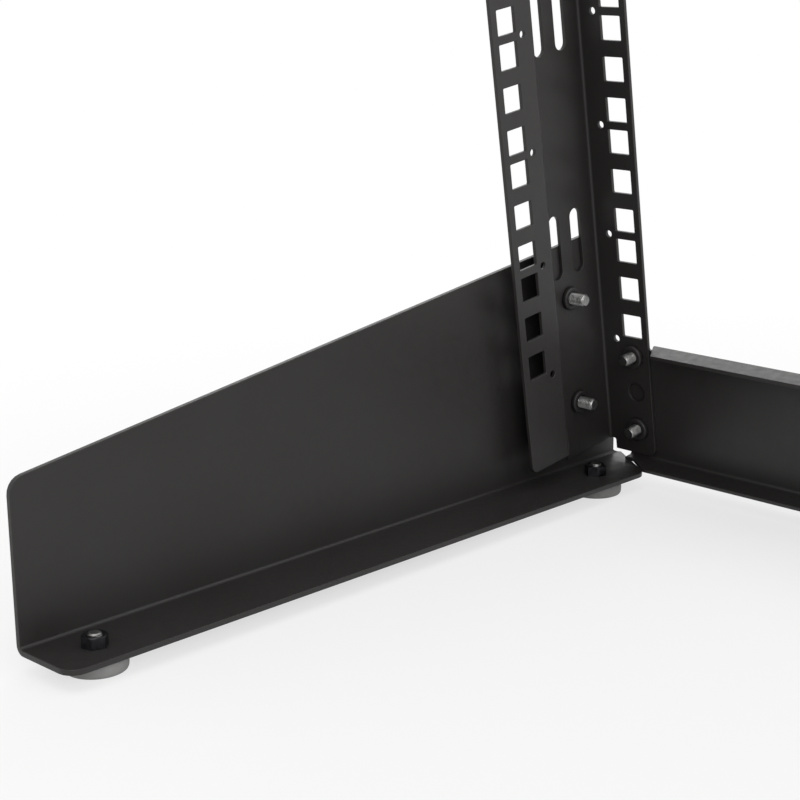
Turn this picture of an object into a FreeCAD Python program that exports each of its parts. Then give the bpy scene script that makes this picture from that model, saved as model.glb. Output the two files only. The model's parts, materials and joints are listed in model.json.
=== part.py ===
import FreeCAD, Part
import math
import os
import Sketcher

# Two post open frame rack, 12 units high, standing on the floor or on a desk.
# Everything on the left is modelled, and the right-hand pieces are its mirror images in the plane X = 0.
#
# Post frame: x from the outer face of the web inwards, y from the front face of the leg rearwards,
# z along the post from its lower end. The post leans back over the feet by lean_angle.
# Foot frame: x from the outer face of the plate inwards, y from its front end rearwards,
# z up from the underside of its flange.

SIZES = {
    # Rack pattern
    "rack_units": 12,
    "unit_height": 44.45,
    "grid_steps": 14,
    "first_step": 2,
    "pitch_steps": 5,
    "column_span": 465.1,
    "hole_to_edge": 7.55,
    "square_hole": 9.5,
    "marker_hole": 3.4,
    "marker_turn": 22.5,
    "marker_offset": 8.3,
    # Post
    "lean_angle": 8.3,
    "post_sheet": 1.5,
    "post_bend": 1.2,
    "hole_to_web": 15.2,
    "web_depth": 29,
    "step_depth": 10,
    "step_angle": 45,
    "strip_depth": 21.6,
    "side_hole_edge": 8.2,
    "rail_start": 49.5,
    "web_trim": 4.5,
    "strip_trim": 12.7,
    "relief_width": 2.5,
    "post_corner": 3,
    "slot_width": 6.5,
    "slot_length": 26,
    "slot_units": 2,
    "front_slot": 12.4,
    "slot_spacing": 12.9,
    # Cross bars
    "bar_sheet": 1.5,
    "bar_bend": 1.2,
    "bar_height": 52,
    "bar_flange": 12.5,
    "bar_gap": 0.5,
    "bar_end_gap": 9,
    "bar_flange_gap": 2.5,
    "bar_corner": 3,
    # Feet
    "foot_sheet": 2,
    "foot_bend": 1.2,
    "foot_length": 300,
    "foot_rear_height": 57.5,
    "foot_flange": 28.5,
    "flange_slant": 17,
    "foot_corner": 6,
    "post_setback": 5,
    "post_clear": 3.6,
    # Levelling pads
    "pad_diameter": 21,
    "pad_height": 5.5,
    "pad_floor": 1.5,
    "pad_inset": 16,
    "front_pad": 32.8,
    "rear_pad": 18.5,
    "stud_proud": 0.6,
    # Fasteners
    "thread": 5,
    "foot_bolt_length": 12,
    "bar_bolt_length": 10,
    "bolt_hole": 5.5,
    "spare_hole": 8,
    "nut_bore_play": 0.2,
    "hex_flats": 8,
    "hex_turn": 30,
    "head_height": 3.5,
    "stud_nut_height": 4,
    "clinch_nut": 9.5,
    "clinch_height": 2,
}

os.makedirs("parts", exist_ok=True)
doc = FreeCAD.newDocument("rack")
sheet = doc.addObject("Spreadsheet::Sheet", "Sizes")
for row, (alias, number) in enumerate(SIZES.items(), start=1):
    sheet.set(f"A{row}", alias)
    sheet.set(f"B{row}", str(number))
    sheet.setAlias(f"B{row}", alias)
doc.recompute()

nodes = []


def sized(text):
    """Write the spreadsheet's name in front of each alias in an expression."""
    word = ""
    out = ""
    for letter in text + " ":
        if letter.isalnum() or letter == "_":
            word += letter
            continue
        out += f"Sizes.{word}" if word in SIZES else word
        word = ""
        out += letter
    return out.strip()


def number(text):
    """The present value of an expression, as a plain number."""
    return float(sheet.evalExpression(sized(text)))


def bind(item, **properties):
    """Bind properties of an object to expressions of the named sizes."""
    for name, text in properties.items():
        item.setExpression(name, sized(text))
    return item


# Lengths that several pieces share
FIRST_HOLE = "(unit_height * first_step / grid_steps)"
HOLE_PITCH = "(unit_height * pitch_steps / grid_steps)"
LEG_WIDTH = "(post_sheet + hole_to_web + hole_to_edge)"
WEB_END = "(post_sheet + web_depth)"
STRIP_START = "(post_sheet + web_depth + step_depth / tan(step_angle))"
POST_DEPTH = "(post_sheet + web_depth + step_depth / tan(step_angle) + strip_depth)"
MITRE = "(post_sheet * tan(step_angle / 2))"
RAIL = "(rack_units * unit_height)"
POST_LENGTH = f"({RAIL} + 2 * rail_start)"
HOLE_COLUMN = "(post_sheet + hole_to_web)"
BOLT_LINE = "(post_sheet + front_slot + slot_spacing / 2)"
SIDE_COLUMN = f"({POST_DEPTH} - side_hole_edge)"
WEB_HALF_SPAN = "(column_span / 2 + hole_to_web + post_sheet)"
LOW_BAR_MIDDLE = "(rail_start - bar_gap - bar_height / 2)"
HIGH_BAR_MIDDLE = f"({POST_LENGTH} - {LOW_BAR_MIDDLE})"
POST_BASE = f"vector(-{WEB_HALF_SPAN}; post_setback - foot_length / 2; pad_height + foot_sheet + post_clear)"
POST_PLACE = f"placement({POST_BASE}; rotation(vector(1; 0; 0); -lean_angle))"
FOOT_CORNER = f"vector(-{WEB_HALF_SPAN} - foot_sheet; -foot_length / 2; pad_height)"
FOOT_PLACE = f"placement({FOOT_CORNER}; rotation(0; 0; 0))"


def origin(body, role):
    """A plane or axis of the body's own origin."""
    return next(item for item in body.Origin.OriginFeatures if item.Role == role)


def sketch_on(body, plane, name):
    """An empty sketch on one of the body's own planes."""
    sketch = body.newObject("Sketcher::SketchObject", name)
    sketch.AttachmentSupport = [(origin(body, plane), "")]
    sketch.MapMode = "FlatFace"
    return sketch


def set_coordinate(sketch, kind, axis, geometry, end, text):
    """Hold one coordinate of a sketch point: on the axis where it is zero, or at a bound distance."""
    if text == "0":
        sketch.addConstraint(Sketcher.Constraint("PointOnObject", geometry, end, axis))
        return
    index = sketch.addConstraint(Sketcher.Constraint(kind, -1, 1, geometry, end, number(text)))
    sketch.setExpression(f"Constraints[{index}]", sized(text))


def set_point(sketch, geometry, end, point):
    set_coordinate(sketch, "DistanceX", -2, geometry, end, point[0])
    set_coordinate(sketch, "DistanceY", -1, geometry, end, point[1])


def polygon(sketch, points):
    """A closed outline through points given as pairs of expressions."""
    first = sketch.GeometryCount
    places = [FreeCAD.Vector(number(x), number(y), 0) for x, y in points]
    count = len(points)
    for index in range(count):
        sketch.addGeometry(Part.LineSegment(places[index], places[(index + 1) % count]))
    for index in range(count):
        after = first + (index + 1) % count
        sketch.addConstraint(Sketcher.Constraint("Coincident", first + index, 2, after, 1))
        set_point(sketch, first + index, 1, points[index])


def rectangle(sketch, low, high):
    polygon(sketch, [low, (high[0], low[1]), high, (low[0], high[1])])


def centred(sketch, x, y, width, height):
    """A rectangle about a centre."""
    low = (f"{x} - {width} / 2", f"{y} - {height} / 2")
    high = (f"{x} + {width} / 2", f"{y} + {height} / 2")
    rectangle(sketch, low, high)


def circle(sketch, x, y, diameter):
    """A full circle at a bound centre, with a bound diameter."""
    centre = FreeCAD.Vector(number(x), number(y), 0)
    index = sketch.addGeometry(Part.Circle(centre, FreeCAD.Vector(0, 0, 1), number(diameter) / 2))
    set_point(sketch, index, 3, (x, y))
    size = sketch.addConstraint(Sketcher.Constraint("Diameter", index, number(diameter)))
    sketch.setExpression(f"Constraints[{size}]", sized(diameter))


def eight_sided(sketch, x, y, width):
    """A small mark with eight equal sides."""
    near, far = f"{width} / 2 * tan(marker_turn)", f"{width} / 2"
    right = [(f"{x} + {far}", f"{y} - {near}"), (f"{x} + {far}", f"{y} + {near}")]
    top = [(f"{x} + {near}", f"{y} + {far}"), (f"{x} - {near}", f"{y} + {far}")]
    left = [(f"{x} - {far}", f"{y} + {near}"), (f"{x} - {far}", f"{y} - {near}")]
    bottom = [(f"{x} - {near}", f"{y} - {far}"), (f"{x} + {near}", f"{y} - {far}")]
    polygon(sketch, right + top + left + bottom)


def slot(sketch, x, y, width, length):
    """An upright slot with round ends."""
    reach = f"({length} - {width}) / 2"
    middle, high, low = number(x), number(f"{y} + {reach}"), number(f"{y} - {reach}")
    radius = number(width) / 2
    up = FreeCAD.Vector(0, 0, 1)
    first = sketch.GeometryCount
    top = Part.Circle(FreeCAD.Vector(middle, high, 0), up, radius)
    bottom = Part.Circle(FreeCAD.Vector(middle, low, 0), up, radius)
    right = [FreeCAD.Vector(middle + radius, level, 0) for level in (low, high)]
    left = [FreeCAD.Vector(middle - radius, level, 0) for level in (high, low)]
    sketch.addGeometry(Part.ArcOfCircle(top, 0, math.pi))
    sketch.addGeometry(Part.LineSegment(*left))
    sketch.addGeometry(Part.ArcOfCircle(bottom, math.pi, 2 * math.pi))
    sketch.addGeometry(Part.LineSegment(*right))
    for index in range(4):
        after = first + (index + 1) % 4
        sketch.addConstraint(Sketcher.Constraint("Tangent", first + index, 2, after, 1))
    set_point(sketch, first, 3, (x, f"{y} + {reach}"))
    set_point(sketch, first + 2, 3, (x, f"{y} - {reach}"))
    size = sketch.addConstraint(Sketcher.Constraint("Radius", first, radius))
    sketch.setExpression(f"Constraints[{size}]", sized(f"{width} / 2"))


def pad(body, sketch, length, midplane=False):
    feature = body.newObject("PartDesign::Pad", sketch.Name + "_pad")
    feature.Profile = sketch
    feature.Midplane = midplane
    bind(feature, Length=length)
    doc.recompute()
    return feature


def pocket(body, sketch, depth, reverse=False, midplane=False):
    feature = body.newObject("PartDesign::Pocket", sketch.Name + "_cut")
    feature.Profile = sketch
    feature.Reversed = reverse
    feature.Midplane = midplane
    bind(feature, Length=depth)
    doc.recompute()
    return feature


def repeat(body, feature, axis, count, length):
    """Repeat a feature evenly along one of the body's own axes."""
    pattern = body.newObject("PartDesign::LinearPattern", feature.Name + "_row")
    pattern.Originals = [feature]
    pattern.Direction = (origin(body, axis), [""])
    bind(pattern, Length=length, Occurrences=count)
    body.Tip = pattern
    doc.recompute()
    return pattern


def edges_at(feature, along, near):
    """Names of straight edges that run along one axis through a place given by the other coordinates."""
    names = []
    for index, edge in enumerate(feature.Shape.Edges, start=1):
        if len(edge.Vertexes) != 2:
            continue
        span = edge.Vertexes[1].Point - edge.Vertexes[0].Point
        if abs(abs(span[along]) - span.Length) > 1e-6:
            continue
        middle = edge.CenterOfMass
        if all(abs(middle[axis] - number(text)) < 0.01 for axis, text in near.items()):
            names.append(f"Edge{index}")
    return names


def round_edges(body, along, places, radius, name):
    """Round the edges along one axis at each of the places."""
    base = body.Tip
    names = [edge for near in places for edge in edges_at(base, along, near)]
    feature = body.newObject("PartDesign::Fillet", name)
    feature.Base = (base, names)
    bind(feature, Radius=radius)
    body.Tip = feature
    doc.recompute()
    return feature


def keep(item, label):
    """Give a finished sub-part its label and list it for export."""
    item.Label = label
    nodes.append(item)
    return item


def mirror(item, label):
    """The right-hand twin of a left-hand sub-part."""
    twin = doc.addObject("Part::Mirroring", label)
    twin.Source = item
    twin.Normal = FreeCAD.Vector(1, 0, 0)
    return keep(twin, label)


def cut_square_holes(body, plane, column, depth, reverse):
    """Three square holes to each unit, in a column that runs the whole rail."""
    sketch = sketch_on(body, plane, f"squares_{plane[:2]}")
    for index in range(3):
        height = f"(rail_start + {FIRST_HOLE} + {index} * {HOLE_PITCH})"
        centred(sketch, column, height, "square_hole", "square_hole")
    feature = pocket(body, sketch, depth, reverse)
    repeat(body, feature, "Z_Axis", "rack_units", "(rack_units - 1) * unit_height")


def cut_marker_holes(body, plane, column, depth, reverse):
    """One small mark at each unit boundary."""
    sketch = sketch_on(body, plane, f"markers_{plane[:2]}")
    eight_sided(sketch, column, "rail_start", "marker_hole")
    feature = pocket(body, sketch, depth, reverse)
    repeat(body, feature, "Z_Axis", "rack_units + 1", RAIL)


def cut_slots(body):
    """A pair of cable tie slots in the web, centred on every second unit boundary."""
    sketch = sketch_on(body, "YZ_Plane", "slots")
    for column in ("(post_sheet + front_slot)", "(post_sheet + front_slot + slot_spacing)"):
        slot(sketch, column, "(rail_start + unit_height)", "slot_width", "slot_length")
    feature = pocket(body, sketch, "2 * post_sheet", True)
    repeat(body, feature, "Z_Axis", "rack_units / slot_units", "(rack_units - slot_units) * unit_height")


def cut_bolt_holes(body):
    """Round holes for the foot bolts in the web, and for both bars in the leg."""
    web = sketch_on(body, "YZ_Plane", "foot_bolt_holes")
    for sign in ("+", "-"):
        circle(web, BOLT_LINE, f"(rail_start {sign} unit_height / 2)", "bolt_hole")
    pocket(body, web, "2 * post_sheet", True)
    leg = sketch_on(body, "XZ_Plane", "bar_bolt_holes")
    for index, size in enumerate(("bolt_hole", "spare_hole", "bolt_hole")):
        drop = f"(rail_start - {FIRST_HOLE} - {index} * {HOLE_PITCH})"
        circle(leg, HOLE_COLUMN, drop, size)
        circle(leg, HOLE_COLUMN, f"({POST_LENGTH} - {drop})", size)
    pocket(body, leg, "2 * post_sheet")


def trim_lower_end(body):
    """Shorten web and strip over the foot's flange, and relieve the bend beside the leg's tab."""
    tab = sketch_on(body, "XZ_Plane", "web_end")
    rectangle(tab, ("0", "0"), ("(post_sheet + relief_width)", "web_trim"))
    pocket(body, tab, f"2 * {POST_DEPTH}", midplane=True)
    strip = sketch_on(body, "YZ_Plane", "strip_end")
    rectangle(strip, (WEB_END, "0"), (f"{POST_DEPTH} + post_sheet", "strip_trim"))
    pocket(body, strip, "2 * (step_depth + 2 * post_sheet)", midplane=True)
    outer = {1: POST_DEPTH}
    leg = {0: LEG_WIDTH}
    places = [{**outer, 2: "strip_trim"}, {**outer, 2: POST_LENGTH}]
    round_edges(body, 0, places, "post_corner", "strip_corners")
    round_edges(body, 1, [{**leg, 2: "0"}, {**leg, 2: POST_LENGTH}], "post_corner", "leg_corners")


def make_post():
    """Left post: one sheet with a front leg, a web and a rear strip that steps inwards."""
    body = doc.addObject("PartDesign::Body", "LeftPost")
    section = sketch_on(body, "XY_Plane", "post_section")
    inner_strip = "(step_depth + post_sheet)"
    polygon(section, [
        ("0", "0"),
        (LEG_WIDTH, "0"),
        (LEG_WIDTH, "post_sheet"),
        ("post_sheet", "post_sheet"),
        ("post_sheet", f"{WEB_END} - {MITRE}"),
        (inner_strip, f"{STRIP_START} - {MITRE}"),
        (inner_strip, POST_DEPTH),
        ("step_depth", POST_DEPTH),
        ("step_depth", STRIP_START),
        ("0", WEB_END),
    ])
    pad(body, section, POST_LENGTH)
    outside = [{0: "0", 1: "0"}, {0: "0", 1: WEB_END}, {0: inner_strip, 1: f"{STRIP_START} - {MITRE}"}]
    inside = [
        {0: "post_sheet", 1: "post_sheet"},
        {0: "post_sheet", 1: f"{WEB_END} - {MITRE}"},
        {0: "step_depth", 1: STRIP_START},
    ]
    round_edges(body, 2, outside, "post_bend + post_sheet", "post_outer_bends")
    round_edges(body, 2, inside, "post_bend", "post_inner_bends")
    trim_lower_end(body)
    cut_bolt_holes(body)
    cut_slots(body)
    cut_marker_holes(body, "XZ_Plane", f"({HOLE_COLUMN} - marker_offset)", "2 * post_sheet", False)
    side_marks = f"({SIDE_COLUMN} - marker_offset)"
    cut_marker_holes(body, "YZ_Plane", side_marks, "step_depth + 2 * post_sheet", True)
    cut_square_holes(body, "XZ_Plane", HOLE_COLUMN, "2 * post_sheet", False)
    cut_square_holes(body, "YZ_Plane", SIDE_COLUMN, "step_depth + 2 * post_sheet", True)
    bind(body, Placement=POST_PLACE)
    return keep(body, "left_post")


def foot_point(along_depth, along_post):
    """Coordinates in the foot frame of a point given in the post frame."""
    rear = f"(post_setback + {along_depth} * cos(lean_angle) + {along_post} * sin(lean_angle))"
    rise = f"(foot_sheet + post_clear - {along_depth} * sin(lean_angle) + {along_post} * cos(lean_angle))"
    return rear, rise


def make_foot():
    """Left foot: a bent plate whose front edge lies along the post and whose top edge is square to it."""
    body = doc.addObject("PartDesign::Body", "LeftFoot")
    plate = sketch_on(body, "YZ_Plane", "foot_plate")
    reach = "(foot_rear_height * cos(lean_angle) + foot_length * sin(lean_angle))"
    peak = (f"{reach} * sin(lean_angle)", f"{reach} * cos(lean_angle)")
    rear_top = ("foot_length", "foot_rear_height")
    polygon(plate, [("0", "0"), ("foot_length", "0"), rear_top, peak])
    pad(body, plate, "foot_sheet")
    flange = sketch_on(body, "XY_Plane", "foot_flange")
    free_front = ("foot_flange", "flange_slant")
    bend_end = ("foot_sheet + foot_bend", "0")
    polygon(flange, [("0", "0"), bend_end, free_front, ("foot_flange", "foot_length"), ("0", "foot_length")])
    pad(body, flange, "foot_sheet")
    round_edges(body, 1, [{0: "0", 2: "0"}], "foot_bend + foot_sheet", "foot_outer_bend")
    round_edges(body, 1, [{0: "foot_sheet", 2: "foot_sheet"}], "foot_bend", "foot_inner_bend")
    tops = [{1: rear_top[0], 2: rear_top[1]}, {1: peak[0], 2: peak[1]}]
    round_edges(body, 0, tops, "foot_corner", "plate_corners")
    free = [{0: free_front[0], 1: free_front[1]}, {0: "foot_flange", 1: "foot_length"}]
    round_edges(body, 2, free, "foot_corner", "flange_corners")
    bolts = sketch_on(body, "YZ_Plane", "foot_plate_holes")
    for sign in ("+", "-"):
        place = foot_point(BOLT_LINE, f"(rail_start {sign} unit_height / 2)")
        circle(bolts, *place, "bolt_hole")
    pocket(body, bolts, "2 * foot_sheet", True)
    studs = sketch_on(body, "XY_Plane", "stud_holes")
    for place in ("front_pad", "(foot_length - rear_pad)"):
        circle(studs, "pad_inset", place, "bolt_hole")
    pocket(body, studs, "2 * foot_sheet", True)
    bind(body, Placement=FOOT_PLACE)
    return keep(body, "left_foot")


def make_bar(label, middle):
    """A channel bolted to both legs. Its web runs past the inner flange, and the outer flange is mitred."""
    body = doc.addObject("PartDesign::Body", label.title().replace("_", ""))
    half = "(bar_height / 2)"
    section = sketch_on(body, "YZ_Plane", label + "_section")
    polygon(section, [
        ("0", f"0 - {half}"),
        ("bar_flange", f"0 - {half}"),
        ("bar_flange", f"bar_sheet - {half}"),
        ("bar_sheet", f"bar_sheet - {half}"),
        ("bar_sheet", f"{half} - bar_sheet"),
        ("bar_flange", f"{half} - bar_sheet"),
        ("bar_flange", half),
        ("0", half),
    ])
    web_length = f"(2 * ({WEB_HALF_SPAN} - post_sheet - bar_end_gap))"
    pad(body, section, web_length, True)
    corners = [{1: "0", 2: half}, {1: "0", 2: f"0 - {half}"}]
    round_edges(body, 0, corners, "bar_bend + bar_sheet", label + "_outer_bends")
    inner = [{1: "bar_sheet", 2: f"{half} - bar_sheet"}, {1: "bar_sheet", 2: f"bar_sheet - {half}"}]
    round_edges(body, 0, inner, "bar_bend", label + "_inner_bends")
    inner_ends = sketch_on(body, "XZ_Plane", label + "_inner_flange_ends")
    start = f"({WEB_HALF_SPAN} - {LEG_WIDTH} - bar_flange_gap)"
    low, high = f"({half} - bar_sheet - bar_bend)", "bar_height"
    rectangle(inner_ends, (start, low), (WEB_HALF_SPAN, high))
    rectangle(inner_ends, (f"0 - {WEB_HALF_SPAN}", low), (f"0 - {start}", high))
    pocket(body, inner_ends, "2 * bar_flange")
    tip = f"({web_length} / 2)"
    tabs = [{0: tip, 2: low}, {0: f"0 - {tip}", 2: low}]
    round_edges(body, 1, tabs, "bar_corner", label + "_tab_corners")
    outer_ends = sketch_on(body, "XY_Plane", label + "_outer_flange_ends")
    slope = "((foot_flange - foot_sheet - foot_bend) / flange_slant)"
    bend_end = "(bar_sheet + bar_bend)"
    back = f"({tip} - (bar_flange - {bend_end}) * {slope})"
    past = f"({tip} + bar_flange * {slope} / 2)"
    beyond = "(bar_flange + bar_flange / 2)"
    deep = f"({back} - bar_flange * {slope} / 2)"
    corners = [(tip, bend_end), (past, bend_end), (past, beyond), (deep, beyond)]
    polygon(outer_ends, corners)
    polygon(outer_ends, [(f"0 - {along}", out) for along, out in corners])
    pocket(body, outer_ends, half)
    holes = sketch_on(body, "XZ_Plane", label + "_holes")
    for side in ("", "0 - "):
        for index in (0, 2):
            height = f"({half} + bar_gap - {FIRST_HOLE} - {index} * {HOLE_PITCH})"
            circle(holes, f"{side}column_span / 2", height, "bolt_hole")
    pocket(body, holes, "2 * bar_sheet")
    turn = "0" if label == "bottom_bar" else "180"
    across = "vector(0; post_setback - foot_length / 2; pad_height + foot_sheet + post_clear)"
    lean = f"placement({across}; rotation(vector(1; 0; 0); -lean_angle))"
    seat = f"placement(vector(0; -bar_sheet; {middle}); rotation(vector(0; 1; 0); {turn}))"
    bind(body, Placement=f"{lean} * {seat}")
    return keep(body, label)


def part(kind, name, **properties):
    """A primitive with bound sizes."""
    return bind(doc.addObject(f"Part::{kind}", name), **properties)


def combine(kind, name, base, tool):
    feature = doc.addObject(f"Part::{kind}", name)
    feature.Base = base
    feature.Tool = tool
    return feature


def hexagon(name, height):
    """A plain hexagon across its corners, from its size across the flats."""
    block = part("Prism", name + "_hexagon", Circumradius="hex_flats / 2 / cos(hex_turn)", Height=height)
    block.Polygon = 6
    return block


def bored(label, blank, place):
    """Cut the thread's bore through a nut and put the nut in its place."""
    width = "(thread + nut_bore_play)"
    bore = part("Cylinder", label + "_bore", Radius=f"{width} / 2", Height="4 * stud_nut_height")
    bind(bore, **{"Placement.Base.z": "0 - stud_nut_height"})
    return keep(bind(combine("Cut", label, blank, bore), Placement=place), label)


def make_clinch_nut(label, place):
    """A round nut pressed on to the sheet, on the +z side of its seat."""
    ring = part("Cylinder", label + "_ring", Radius="clinch_nut / 2", Height="clinch_height")
    bored(label, ring, place)


def make_shank(label, length):
    """A plain round shank from z = 0."""
    return part("Cylinder", label + "_shank", Radius="thread / 2", Height=length)


def make_bolt(label, place, length):
    """A bolt with a hexagon head below z = 0 and its shank above."""
    head = hexagon(label, "head_height")
    bind(head, **{"Placement.Base.z": "0 - head_height"})
    shank = make_shank(label, length)
    keep(bind(combine("Fuse", label, head, shank), Placement=place), label)


def make_fastening(label, seat, direction, grip, length):
    """A bolt, and the nut that closes the joint at the far side of the grip."""
    turn = {"x": "rotation(vector(0; 1; 0); 90)", "y": "rotation(vector(1; 0; 0); -90)"}[direction]
    lift = {"x": f"vector({seat[0]} + {grip}; {seat[1]}; {seat[2]})",
            "y": f"vector({seat[0]}; {seat[1]} + {grip}; {seat[2]})"}[direction]
    start = f"vector({seat[0]}; {seat[1]}; {seat[2]})"
    make_bolt(label + "_bolt", f"{POST_PLACE} * placement({start}; {turn})", length)
    make_clinch_nut(label + "_nut", f"{POST_PLACE} * placement({lift}; {turn})")


def make_pad(label, along):
    """A moulded pad with its stud, and the nut that holds it on the foot's flange."""
    across = f"({WEB_HALF_SPAN} + foot_sheet - pad_inset)"
    floor = f"-{across}; {along} - foot_length / 2"
    blank = part("Cylinder", label + "_blank", Radius="pad_diameter / 2", Height="pad_height")
    socket = part("Cylinder", label + "_socket", Radius="thread / 2", Height="pad_height")
    bind(socket, **{"Placement.Base.z": "pad_floor"})
    place = f"placement(vector({floor}; 0); rotation(0; 0; 0))"
    keep(bind(combine("Cut", label + "_pad", blank, socket), Placement=place), label + "_pad")
    length = "(pad_height - pad_floor + foot_sheet + stud_nut_height + stud_proud)"
    stud = make_shank(label + "_stud", length)
    place = f"placement(vector({floor}; pad_floor); rotation(0; 0; 0))"
    keep(bind(stud, Placement=place), label + "_stud")
    place = f"placement(vector({floor}; pad_height + foot_sheet); rotation(0; 0; 0))"
    bored(label + "_stud_nut", hexagon(label + "_stud_nut", "stud_nut_height"), place)


def make_left_side():
    """Every left-hand sub-part: post, foot, pads and fastenings."""
    make_post()
    make_foot()
    make_pad("left_front", "front_pad")
    make_pad("left_rear", "(foot_length - rear_pad)")
    for name, sign in (("upper", "+"), ("lower", "-")):
        seat = ("0 - foot_sheet", BOLT_LINE, f"rail_start {sign} unit_height / 2")
        make_fastening(f"left_foot_{name}", seat, "x", "foot_sheet + post_sheet", "foot_bolt_length")
    for name, index in (("upper", 0), ("lower", 2)):
        drop = f"(rail_start - {FIRST_HOLE} - {index} * {HOLE_PITCH})"
        seat = (HOLE_COLUMN, "0 - bar_sheet", drop)
        make_fastening(f"left_bottom_bar_{name}", seat, "y", "bar_sheet + post_sheet", "bar_bolt_length")
    for name, index in (("upper", 2), ("lower", 0)):
        rise = f"({POST_LENGTH} - rail_start + {FIRST_HOLE} + {index} * {HOLE_PITCH})"
        seat = (HOLE_COLUMN, "0 - bar_sheet", rise)
        make_fastening(f"left_top_bar_{name}", seat, "y", "bar_sheet + post_sheet", "bar_bolt_length")


make_left_side()
for item in list(nodes):
    mirror(item, item.Label.replace("left", "right", 1))
make_bar("bottom_bar", LOW_BAR_MIDDLE)
make_bar("top_bar", HIGH_BAR_MIDDLE)
doc.recompute()

for item in doc.Objects:
    if "Invalid" in item.State or "Error" in item.State:
        raise RuntimeError(f"{item.Label} did not recompute")
for item in nodes:
    shape = item.Shape
    if shape.isNull() or not shape.isValid():
        raise RuntimeError(f"{item.Label} has no valid shape")
    shape.exportStep(f"parts/{item.Label}.step")
print(len(nodes), "sub-parts written")
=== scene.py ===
# %% [markdown]
# # A small open frame rack with two leaning posts
#
# The rack is sheet steel: two perforated posts, two plates as feet and two bars that keep
# the posts apart. It stands on four round pads. The measured model is loaded first, as a
# fixed frame, and every piece below is built in the place which that frame gives it.
# Lengths are written in millimetres, as on a drawing, and MM turns them into Blender's metres.

# %% Load the frame and start from an empty scene
import bmesh
import bpy
import json
import math
from mathutils import Matrix, Vector

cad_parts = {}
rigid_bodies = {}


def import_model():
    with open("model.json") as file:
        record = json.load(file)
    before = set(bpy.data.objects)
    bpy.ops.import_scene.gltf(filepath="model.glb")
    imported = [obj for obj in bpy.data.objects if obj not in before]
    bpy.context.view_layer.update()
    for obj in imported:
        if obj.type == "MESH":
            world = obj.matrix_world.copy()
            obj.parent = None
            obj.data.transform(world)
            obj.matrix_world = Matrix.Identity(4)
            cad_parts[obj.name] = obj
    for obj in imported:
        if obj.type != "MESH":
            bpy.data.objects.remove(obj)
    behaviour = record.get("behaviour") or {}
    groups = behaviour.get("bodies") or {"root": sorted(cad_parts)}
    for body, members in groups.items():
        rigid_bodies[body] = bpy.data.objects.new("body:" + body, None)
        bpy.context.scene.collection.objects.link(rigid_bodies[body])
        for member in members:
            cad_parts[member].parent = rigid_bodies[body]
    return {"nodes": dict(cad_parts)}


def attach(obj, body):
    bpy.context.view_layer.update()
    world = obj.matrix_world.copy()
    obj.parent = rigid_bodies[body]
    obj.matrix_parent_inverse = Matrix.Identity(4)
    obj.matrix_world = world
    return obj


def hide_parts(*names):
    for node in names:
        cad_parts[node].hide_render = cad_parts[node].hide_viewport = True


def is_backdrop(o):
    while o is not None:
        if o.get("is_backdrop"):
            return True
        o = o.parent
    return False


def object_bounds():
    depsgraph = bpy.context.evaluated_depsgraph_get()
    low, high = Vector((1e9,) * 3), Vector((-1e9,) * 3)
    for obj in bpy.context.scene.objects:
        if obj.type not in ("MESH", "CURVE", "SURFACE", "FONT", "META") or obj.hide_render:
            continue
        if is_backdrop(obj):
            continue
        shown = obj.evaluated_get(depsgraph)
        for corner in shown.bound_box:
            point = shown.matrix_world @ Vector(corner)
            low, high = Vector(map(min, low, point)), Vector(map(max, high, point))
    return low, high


for thing in list(bpy.data.objects):
    bpy.data.objects.remove(thing)
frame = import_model()
cad_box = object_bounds()
MM = 0.001
print("frame:", len(frame["nodes"]), "nodes, box",
      [round(v / MM, 1) for v in cad_box[1] - cad_box[0]])

# %% [markdown]
# ## The sizes that the pieces share
#
# Rack holes follow a rule: one unit is 44.45 mm high and holds three square holes, and the
# pattern repeats up the post. Two columns of them stand 465.1 mm apart. These sizes and the
# sheet's are kept in one place, because pieces that meet have to take them from the same
# number. A size of one piece alone stands with that piece.

# %% Sizes in millimetres
UNITS, UNIT, FIRST_HOLE, HOLE_PITCH = 12, 44.45, 6.35, 15.875
COLUMN_SPAN, LEG_EDGE, HOLE_TO_WEB = 465.1, 7.55, 15.2
SHEET, FOOT_SHEET, BEND = 1.5, 2.0, 1.2
RAIL_START = 49.5
POST_LENGTH = UNITS * UNIT + 2 * RAIL_START
LEG = SHEET + HOLE_TO_WEB + LEG_EDGE
LEAN = math.radians(8.3)
FOOT_LENGTH, FOOT_FLANGE, FLANGE_CUT, PAD_HEIGHT = 300.0, 28.5, 17.0, 5.5
BAR_HEIGHT, BAR_GAP = 52.0, 0.5
POST_CLEAR, SETBACK = 3.6, 5.0
HALF_SPAN = COLUMN_SPAN / 2 + HOLE_TO_WEB + SHEET
SCREW_HOLE, CORNER, FOOT_CORNER = 5.5, 3.0, 6.0
BOLT_LINE = SHEET + 18.85
BOLT_RISES = (RAIL_START - UNIT / 2, RAIL_START + UNIT / 2)
STUD_INSET, STUD_PLACES = 16.0, (32.8, FOOT_LENGTH - 18.5)
print("post", round(POST_LENGTH, 1), "mm long, leg", round(LEG, 2), "mm wide")

# %% [markdown]
# ## Three local frames
#
# Each piece is drawn in the easy way: upright, with its corner at zero. A matrix then puts it
# in the rack. The post's frame leans back by 8.3 degrees, the foot's frame lies flat on the
# pads, and the bar's frame is the post's frame moved to the middle of the rack.

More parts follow.
